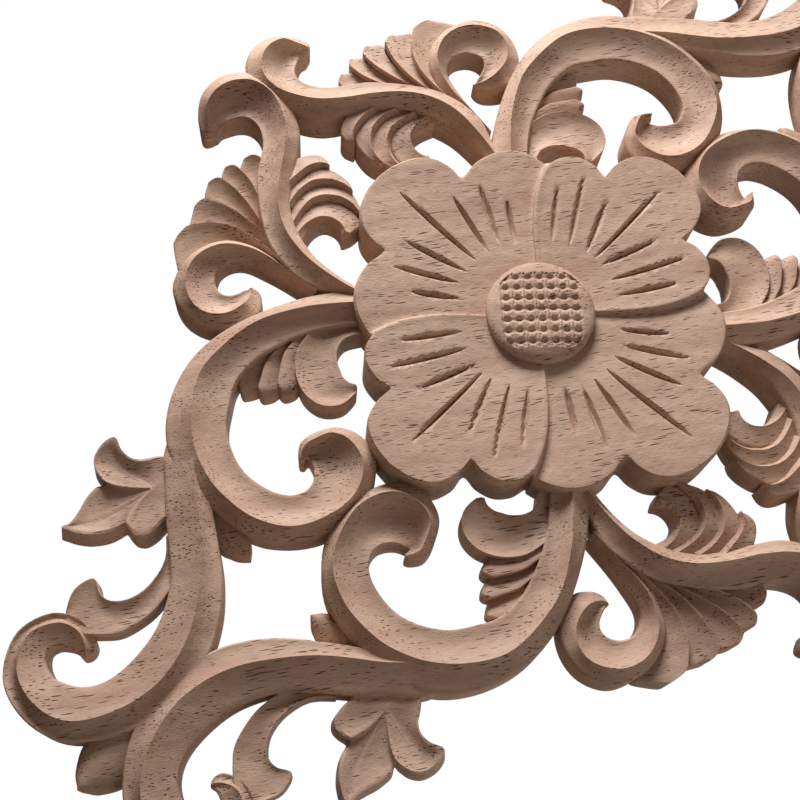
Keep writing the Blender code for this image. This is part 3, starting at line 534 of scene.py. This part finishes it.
# mm that the walls go below the back, to be cut off there: each piece has its own, so that
# no two undersides lie in one plane
below = {"volute": 3.9, "hook": 4.3, "curl": 4.7, "outer": 5.1, "stem": 5.9, "spur": 6.3,
         "innerLeaf": 6.7, "trefoil": 6.8, "ribs": 6.9, "ribStep": 0.3, "bud": 7.3}


def buildQuarter():
    pieces = [
        scrollBand("hook", hookRails, hookHeights, rowsAlong["hook"], below["hook"]),
        scrollBand("curl", curlRails, curlHeights, rowsAlong["curl"], below["curl"]),
        scrollBand("outer", outerRails, outerHeights, rowsAlong["outer"], below["outer"]),
        leafBlade("stem", stemRails, stemHeights, rowsAlong["stem"], below["stem"]),
        leafBlade("spur", spurRails, spurHeights, rowsAlong["blade"], below["spur"]),
        leafBlade("innerLeaf", innerLeafRails, innerLeafHeights, rowsAlong["leaf"],
                  below["innerLeaf"]),
        spoonLeaf("trefoil", trefoilRim, trefoilRoot, below["trefoil"]),
    ]
    depth = below["ribs"]
    for rails, heights in zip(palmetteRails + innerRibRails, palmetteHeights + innerRibHeights):
        depth += below["ribStep"]
        pieces.append(leafBlade("rib", rails, heights, rowsAlong["blade"], depth,
                                leaf["ribSwell"]))
    for rails, heights in zip(fanRails, fanHeights):
        depth += below["ribStep"]
        pieces.append(scrollBand("fanRib", rails, heights, rowsAlong["blade"], depth))
    volute = scrollBand("volute", voluteRails, voluteHeights, rowsAlong["volute"],
                        below["volute"])
    return united(volute, pieces)


def mirrored(piece, sx, sy):
    twin = bpy.data.objects.new(piece.name + "Twin", piece.data.copy())
    twin.data.transform(Matrix.Diagonal((sx, sy, 1, 1)))
    if sx * sy < 0:
        twin.data.flip_normals()
    bpy.context.scene.collection.objects.link(twin)
    return twin


# Flower rim over one quarter: x, y, height at the rim, height half way in
flowerRim = (
    (54.2, 0, 14.3, 12.3),
    (53.2, 5.5, 14.3, 12.3),
    (50.2, 10.4, 14.25, 12.35),
    (45, 12.6, 14.2, 12.4),
    (40.3, 12.4, 14.2, 12.42),
    (40.6, 16.5, 14.15, 12.5),
    (39.4, 21, 14.1, 12.6),
    (36.2, 24, 14.1, 12.75),
    (32.5, 25.1, 14.1, 12.9),
    (32.9, 26.2, 12.5, 11.7),
    (31.7, 30.6, 13.1, 11.8),
    (29, 34.6, 13.5, 12.0),
    (25, 37.3, 13.8, 12.1),
    (20, 38.6, 14.0, 12.2),
    (15.8, 38.2, 14.1, 12.27),
    (14.3, 38.8, 14.13, 12.3),
    (14.5, 42.5, 14.15, 12.3),
    (13.3, 46.8, 14.2, 12.3),
    (10, 50.3, 14.25, 12.3),
    (5, 52.5, 14.3, 12.3),
    (0, 53.2, 14.3, 12.3),
)
# Veins: angle and radius at the outer end, then at the inner
veinEnds = (
    (0, 45.5, 0, 21.5),
    (13, 36.5, 7, 21.5),
    (24.5, 40, 19.5, 20.8),
    (33.5, 35.3, 32, 20.3),
    (56, 31.5, 58, 20),
    (65, 37.3, 69, 21.5),
    (76.5, 37.3, 79, 21.2),
    (90, 46, 90, 21.4),
)
flower = {
    "rimSteps": 7,            # columns between two rows of the rim table
    "rings": 46,
    "ringCrowd": 1.15,        # rings crowd towards the rim
    "heart": 0.06,            # where the rings end, 0 would be the middle
    "below": 8.8,             # mm that the wall goes below the back
    "centre": 10.8,           # mm, height of the petals at the button
    "reach": 48.5,            # mm from the middle to the rim, on average
    "reachSwing": 5.5,        # mm more at the axes, and less between them
    "bow": 7,                 # degrees that the line between two petals bows
    "edgeRound": 0.8,         # mm
    "veinWidth": 1.7,
    "veinDepth": 1.7,
}


def petalSurface(plan, rimZ, halfZ):
    # height along a radius: parabola through the centre (s = 0), half way (s = 0.5) and
    # the rim (s = 1), where s = radius / (reach + reachSwing * cos(4 angle))
    angle = np.arctan2(plan[..., 1], plan[..., 0])
    reach = flower["reach"] + flower["reachSwing"] * np.cos(4 * angle)
    s = np.linalg.norm(plan, axis=-1) / reach
    z = (flower["centre"] * (1 - s) * (1 - 2 * s) + halfZ * 4 * s * (1 - s)
         + rimZ * s * (2 * s - 1))
    return z - veinCut(plan)


def veinCut(plan):
    # each vein is a V groove that deepens and widens towards its middle:
    # depth * bow * (1 - distance / (halfWidth * bow)), bow = (4u(1-u))^0.5
    cut = np.zeros(plan.shape[:-1])
    for outAngle, outRadius, inAngle, inRadius in veinEnds:
        for sx, sy in ((1, 1), (-1, 1), (-1, -1), (1, -1)):
            ends = []
            for angle, radius in ((outAngle, outRadius), (inAngle, inRadius)):
                turn = math.radians(angle)
                ends.append(np.array([sx * radius * math.cos(turn),
                                      sy * radius * math.sin(turn)]))
            along = ends[0] - ends[1]
            length = np.linalg.norm(along)
            along = along / length
            local = plan - ends[1]
            u = np.clip(local @ along / length, 0, 1)
            bow = np.sqrt(np.clip(4 * u * (1 - u), 0, 1))
            away = np.abs(local @ np.array([-along[1], along[0]]))
            groove = 1 - away / np.maximum(flower["veinWidth"] / 2 * bow, 1e-6)
            cut = np.maximum(cut, flower["veinDepth"] * bow * np.clip(groove, 0, 1))
    return cut


def buildFlower():
    at = np.linspace(0, len(flowerRim) - 1, (len(flowerRim) - 1) * flower["rimSteps"] + 1)
    quarterRim = splineThrough(flowerRim, at)
    upper = np.vstack([quarterRim, quarterRim[::-1][1:] * (-1, 1, 1, 1)])
    rim = np.vstack([upper, upper[::-1][1:-1] * (1, -1, 1, 1)])
    # rays bow towards the short axis, and with them the line between two petals:
    # angle + bow * sin(2 angle) * 4s(1-s)
    s = np.linspace(flower["heart"], 1, flower["rings"])
    s = (1 - (1 - s) ** flower["ringCrowd"])[::-1, None]
    angle = np.arctan2(rim[:, 1], rim[:, 0])[None, :]
    reach = np.linalg.norm(rim[:, 0:2], axis=1)[None, :]
    angle = angle + math.radians(flower["bow"]) * np.sin(2 * angle) * 4 * s * (1 - s)
    plan = np.stack([np.cos(angle), np.sin(angle)], axis=-1) * (reach * s)[..., None]
    z = petalSurface(plan, rim[None, :, 2], rim[None, :, 3])
    z = z - softEdge(reach * (1 - s), flower["edgeRound"])
    wall = np.column_stack([rim[:, 0:2], np.full(len(rim), -flower["below"])])
    grid = np.concatenate([wall[None], np.dstack([plan, z])], axis=0)
    return closedTube("flower", grid)


button = {
    "radius": 13.2,
    "below": 3.5,             # mm that it goes below the back
    "base": 10.5,             # mm above the back
    "top": 15.2,
    "sides": 200,
    "rings": 44,
    "heart": 0.04,            # share of the radius inside the last ring
    "wall": 0.5,              # share of the rise that is wall, the rest is dome
    "pitch": 2.8,             # mm between the crossing grooves
    "rowWidth": 2.0,
    "rowDepth": 1.1,
    "pitSwing": 0.3,          # share of that depth that comes and goes along a row
    "columnGap": 0.45,        # mm from the middle of a column to its groove on each side
    "columnWidth": 0.9,
    "columnDepth": 0.45,
    "gridHalf": 9.7,          # mm from the middle to the edge of the cross-hatching
    "gridReach": 12.0,        # mm, the cross-hatching's corners end here
}


def buildButton():
    # profile: the wall, then z = base + rise * (wall + (1 - wall) * (1 - r^4)^0.5)
    turn = np.arange(button["sides"]) * 2 * math.pi / button["sides"]
    fall = np.linspace(math.pi / 2, button["heart"], button["rings"])
    r = np.concatenate([[1.0, 1.0], np.sin(fall)])
    rise = button["top"] - button["base"]
    dome = np.sqrt(np.clip(1 - r ** 4, 0, 1))
    z = button["base"] + rise * (button["wall"] + (1 - button["wall"]) * dome)
    z[0] = -button["below"]
    circle = np.stack([np.cos(turn), np.sin(turn)], axis=-1)
    plan = circle[None] * (r * button["radius"])[:, None, None]
    z = np.repeat(z[:, None], len(turn), axis=1)
    z[2:] -= hatching(plan[2:])
    return closedTube("button", np.dstack([plan, z]))


def hatching(plan):
    # rows of pits at 45 degrees to the long axis, crossed by narrow shallow grooves:
    # depth of a row = rowDepth * V * (1 - pitSwing + pitSwing * cos(2 pi column))
    row = (plan[..., 0] + plan[..., 1]) / math.sqrt(2) / button["pitch"]
    column = (plan[..., 0] - plan[..., 1]) / math.sqrt(2) / button["pitch"]
    offRow = np.abs((row + 0.5) % 1 - 0.5) * button["pitch"]
    groove = np.clip(1 - offRow / (button["rowWidth"] / 2), 0, 1)
    swing = button["pitSwing"]
    pits = button["rowDepth"] * groove * (1 - swing + swing * np.cos(2 * math.pi * column))
    offColumn = np.abs(column % 1 - 0.5) * button["pitch"]
    offLine = np.abs(offColumn - button["columnGap"])
    lines = button["columnDepth"] * np.clip(1 - offLine / (button["columnWidth"] / 2), 0, 1)
    square = np.maximum(np.abs(row), np.abs(column)) * button["pitch"]
    inside = (square < button["gridHalf"]) & (np.linalg.norm(plan, axis=-1) < button["gridReach"])
    return np.maximum(pits, lines) * inside


def box(name, low, high):
    corners = np.array([(x, y, z) for z in (low[2], high[2]) for y in (low[1], high[1])
                        for x in (low[0], high[0])], float)
    quads = np.array([(0, 2, 3, 1), (4, 5, 7, 6), (0, 1, 5, 4), (2, 6, 7, 3), (0, 4, 6, 2),
                      (1, 3, 7, 5)])
    return meshFrom(name, corners, quads, [])


sharpFrom = 32                # degrees between two faces that show as a crisp arris


def buildCarving():
    quarter = buildQuarter()
    print("quarter", len(quarter.data.polygons), flush=True)
    bud = leafBlade("endBud", endBudRails, endBudHeights, rowsAlong["bud"], below["bud"])
    whole = buildFlower()
    others = [mirrored(quarter, -1, 1), mirrored(quarter, -1, -1), mirrored(quarter, 1, -1),
              quarter, mirrored(bud, -1, 1), bud, buildButton()]
    whole = united(whole, others)
    # all that goes below the back, z < 0, is cut off
    block = box("backBlock", (-200, -150, -60), (200, 150, 0))
    addBoolean(whole, block, "DIFFERENCE")
    whole = applied(whole, [block])
    # front view millimetres to metres, stood up against a wall: (x, y, z) to (x, -z, y)
    whole.data.transform(Matrix.Rotation(math.radians(90), 4, "X") @ Matrix.Scale(mm, 4))
    whole.name = whole.data.name = "carvedApplique"
    whole.data.polygons.foreach_set("use_smooth", np.ones(len(whole.data.polygons), bool))
    whole.data.set_sharp_from_angle(angle=math.radians(sharpFrom))
    triangles = sum(len(face.vertices) - 2 for face in whole.data.polygons)
    print("carving", triangles, "triangles", flush=True)
    return whole


def linear(code):
    # sRGB hex to linear: ((c + 0.055) / 1.055)^2.4, or c / 12.92 when dark
    c = np.array([int(code[k:k + 2], 16) for k in (1, 3, 5)]) / 255
    rgb = np.where(c <= 0.04045, c / 12.92, ((c + 0.055) / 1.055) ** 2.4)
    return (*rgb.tolist(), 1.0)


def addNode(tree, kind, settings=None, links=None):
    # settings: attribute, input name or input number to a value; links: input to a socket
    made = tree.nodes.new(kind)
    for key, value in (settings or {}).items():
        if isinstance(key, str) and hasattr(made, key):
            setattr(made, key, value)
        else:
            made.inputs[key].default_value = value
    for key, socket in (links or {}).items():
        tree.links.new(socket, made.inputs[key])
    return made


wood = {
    "pale": "#C6A78F",        # lit face grain
    "rosy": "#AC8974",        # broad warmer streaks
    "pore": "#56321F",
    "speck": "#9A7760",       # fine darker fibres
    "roughness": 0.62,
    "ior": 1.5,
    "specular": 0.3,
    "grainAngle": -36.7,      # degrees from the long axis, seen from the front
    "streaks": (60.0, 7.0),   # this and the pairs below: mm along the grain, mm across it
    "fibres": (2.2, 0.45),
    "pores": (6.5, 0.5),
    "poreCore": 0.6,          # share of a pore's size that is fully dark
    "patches": (16.0, 6.0),   # where the pores are larger or smaller
    "fuzz": (0.8, 0.35),
    "ripple": (5.0, 4.0),
    "fuzzHeight": 0.16,       # mm
    "rippleHeight": 0.5,
    "poreDepth": 0.2,
}


def makeWood():
    # Rubberwood, sanded and left bare: a pale body, broad rosy streaks, and short
    # open pores that show as dashes on face grain and dots on end grain
    material = bpy.data.materials.new("bareRubberwood")
    material.use_nodes = True
    tree = material.node_tree
    shader = tree.nodes["Principled BSDF"]
    shader.inputs["Roughness"].default_value = wood["roughness"]
    shader.inputs["IOR"].default_value = wood["ior"]
    shader.inputs["Specular IOR Level"].default_value = wood["specular"]
    place = addNode(tree, "ShaderNodeTexCoord")
    turned = addNode(tree, "ShaderNodeMapping",
                     {"vector_type": "TEXTURE", "Rotation": (0, -math.radians(wood["grainAngle"]), 0)},
                     {"Vector": place.outputs["Object"]})

    def along(length, width):
        size = (1 / (length * mm), 1 / (width * mm), 1 / (width * mm))
        return addNode(tree, "ShaderNodeMapping", {"Scale": size},
                       {"Vector": turned.outputs["Vector"]}).outputs["Vector"]

    streak = addNode(tree, "ShaderNodeTexNoise", {"Scale": 1.0, "Detail": 3.0, "Roughness": 0.55},
                     {"Vector": along(*wood["streaks"])})
    body = addNode(tree, "ShaderNodeMapRange", {"From Min": 0.35, "From Max": 0.7},
                   {"Value": streak.outputs["Fac"]})
    tone = addNode(tree, "ShaderNodeMix", {"data_type": "RGBA", 6: linear(wood["pale"]),
                                           7: linear(wood["rosy"])}, {0: body.outputs["Result"]})

    fibres = addNode(tree, "ShaderNodeTexNoise", {"Scale": 1.0, "Detail": 2.0, "Roughness": 0.7},
                     {"Vector": along(*wood["fibres"])})
    specks = addNode(tree, "ShaderNodeMapRange", {"From Min": 0.5, "From Max": 0.75, "To Max": 0.55},
                     {"Value": fibres.outputs["Fac"]})
    fibrous = addNode(tree, "ShaderNodeMix", {"data_type": "RGBA", 7: linear(wood["speck"])},
                      {0: specks.outputs["Result"], 6: tone.outputs[2]})

    # pores: stretched cells; a pore where the distance to the cell's point is small,
    # and smaller still in sparse patches
    cells = addNode(tree, "ShaderNodeTexVoronoi", {"Scale": 1.0, "Randomness": 1.0},
                    {"Vector": along(*wood["pores"])})
    patches = addNode(tree, "ShaderNodeTexNoise", {"Scale": 1.0, "Detail": 1.0},
                      {"Vector": along(*wood["patches"])})
    size = addNode(tree, "ShaderNodeMapRange",
                   {"From Min": 0.35, "From Max": 0.65, "To Min": 0.13, "To Max": 0.33},
                   {"Value": patches.outputs["Fac"]})
    inner = addNode(tree, "ShaderNodeMath", {"operation": "MULTIPLY", 1: wood["poreCore"]},
                    {0: size.outputs["Result"]})
    pore = addNode(tree, "ShaderNodeMapRange", {"To Min": 1.0, "To Max": 0.0},
                   {"Value": cells.outputs["Distance"], "From Min": inner.outputs["Value"],
                    "From Max": size.outputs["Result"]})
    colour = addNode(tree, "ShaderNodeMix", {"data_type": "RGBA", 7: linear(wood["pore"])},
                     {0: pore.outputs["Result"], 6: fibrous.outputs[2]})
    tree.links.new(colour.outputs[2], shader.inputs["Base Color"])

    # relief: fibre fuzz, shallow tool ripple, and the pores sunk in
    fuzz = addNode(tree, "ShaderNodeTexNoise", {"Scale": 1.0, "Detail": 3.0},
                   {"Vector": along(*wood["fuzz"])})
    ripple = addNode(tree, "ShaderNodeTexNoise", {"Scale": 1.0, "Detail": 1.0},
                     {"Vector": along(*wood["ripple"])})
    fine = addNode(tree, "ShaderNodeBump", {"Strength": 0.6, "Distance": wood["fuzzHeight"] * mm},
                   {"Height": fuzz.outputs["Fac"]})
    wide = addNode(tree, "ShaderNodeBump", {"Strength": 0.6, "Distance": wood["rippleHeight"] * mm},
                   {"Height": ripple.outputs["Fac"], "Normal": fine.outputs["Normal"]})
    sunk = addNode(tree, "ShaderNodeBump",
                   {"Strength": 0.8, "Distance": wood["poreDepth"] * mm, "invert": True},
                   {"Height": pore.outputs["Result"], "Normal": wide.outputs["Normal"]})
    tree.links.new(sunk.outputs["Normal"], shader.inputs["Normal"])
    return material


carving = buildCarving()
carving.data.materials.clear()
carving.data.materials.append(makeWood())
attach(carving, "root")
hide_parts("carved_applique")
print("wood applied", flush=True)


studio = {
    "floorHeight": -0.42,     # m, like all lengths here
    "floorHalf": 1.3,
    "floorTone": "#F2F0ED",
    "floorRoughness": 0.7,
    "sheetMiddle": (0.301, 0.931, 0.204),    # direction of the white sheet's middle
    "sheetAngles": (26, 40),  # degrees from its middle: still bright, then quite dim
    "sheetLight": 1.0,
    "sheetTint": "#FFFFFF",
    "roomLight": 0.11,
    "roomTint": "#FFDDC2",
    "key": 4.8,               # W, soft light from the picture's top
    "keyTint": "#F7FAFF",
    "keySize": 0.2,
    "keyPlace": (0.26, -0.22, 0.37),
}


def buildStage():
    half = studio["floorHalf"]
    corners = np.array([(-half, -half, 0), (half, -half, 0), (half, half, 0), (-half, half, 0)])
    corners = corners + (0, 0, studio["floorHeight"])
    floor = meshFrom("paleFloor", corners, np.array([(0, 1, 2, 3)]), [])
    paint = bpy.data.materials.new("paleFloor")
    paint.use_nodes = True
    shader = paint.node_tree.nodes["Principled BSDF"]
    shader.inputs["Base Color"].default_value = linear(studio["floorTone"])
    shader.inputs["Roughness"].default_value = studio["floorRoughness"]
    floor.data.materials.append(paint)


def buildWorld():
    # a white sheet behind the carving, a dim room elsewhere: strength by the angle
    # between the direction and the middle of the sheet, cos = dot(direction, middle)
    world = bpy.data.worlds.new("softRoom")
    bpy.context.scene.world = world
    world.use_nodes = True
    tree = world.node_tree
    background = tree.nodes["Background"]
    place = addNode(tree, "ShaderNodeTexCoord")
    cosine = addNode(tree, "ShaderNodeVectorMath",
                     {"operation": "DOT_PRODUCT", 1: studio["sheetMiddle"]},
                     {0: place.outputs["Generated"]})
    near, far = (math.cos(math.radians(a)) for a in studio["sheetAngles"])
    strength = addNode(tree, "ShaderNodeMapRange",
                       {"interpolation_type": "SMOOTHSTEP", "From Min": far, "From Max": near,
                        "To Min": studio["roomLight"], "To Max": studio["sheetLight"]},
                       {"Value": cosine.outputs["Value"]})
    beside = addNode(tree, "ShaderNodeMapRange", {"From Min": near, "From Max": far},
                     {"Value": cosine.outputs["Value"]})
    tint = addNode(tree, "ShaderNodeMix",
                   {"data_type": "RGBA", 6: linear(studio["sheetTint"]),
                    7: linear(studio["roomTint"])}, {0: beside.outputs["Result"]})
    tree.links.new(tint.outputs[2], background.inputs["Color"])
    tree.links.new(strength.outputs["Result"], background.inputs["Strength"])


# Solved from the carving's own symmetry in the photograph, 26 degrees off square to its face
view = {
    "lens": 57.85,            # mm
    "sensor": 36,             # mm
    "place": (-0.1303, -0.2915, -0.0520),    # m
    "turn": (107.538, 47.317, -4.841),       # degrees
}


def addCamera():
    lens = bpy.data.cameras.new("camera")
    lens.lens = view["lens"]
    lens.sensor_width = view["sensor"]
    camera = bpy.data.objects.new("camera", lens)
    camera.location = view["place"]
    camera.rotation_euler = [math.radians(a) for a in view["turn"]]
    bpy.context.scene.collection.objects.link(camera)
    bpy.context.scene.camera = camera


def addKeyLight():
    # a small softbox, turned to the middle of the carving
    lamp = bpy.data.lights.new("key", "AREA")
    lamp.size = studio["keySize"]
    lamp.energy = studio["key"]
    lamp.color = linear(studio["keyTint"])[:3]
    softbox = bpy.data.objects.new("key", lamp)
    softbox.location = studio["keyPlace"]
    softbox.rotation_euler = (-Vector(studio["keyPlace"])).to_track_quat("-Z", "Y").to_euler()
    bpy.context.scene.collection.objects.link(softbox)


buildStage()
buildWorld()
addCamera()
addKeyLight()
bpy.context.scene.view_settings.view_transform = "Standard"
print("stage, light and camera", flush=True)
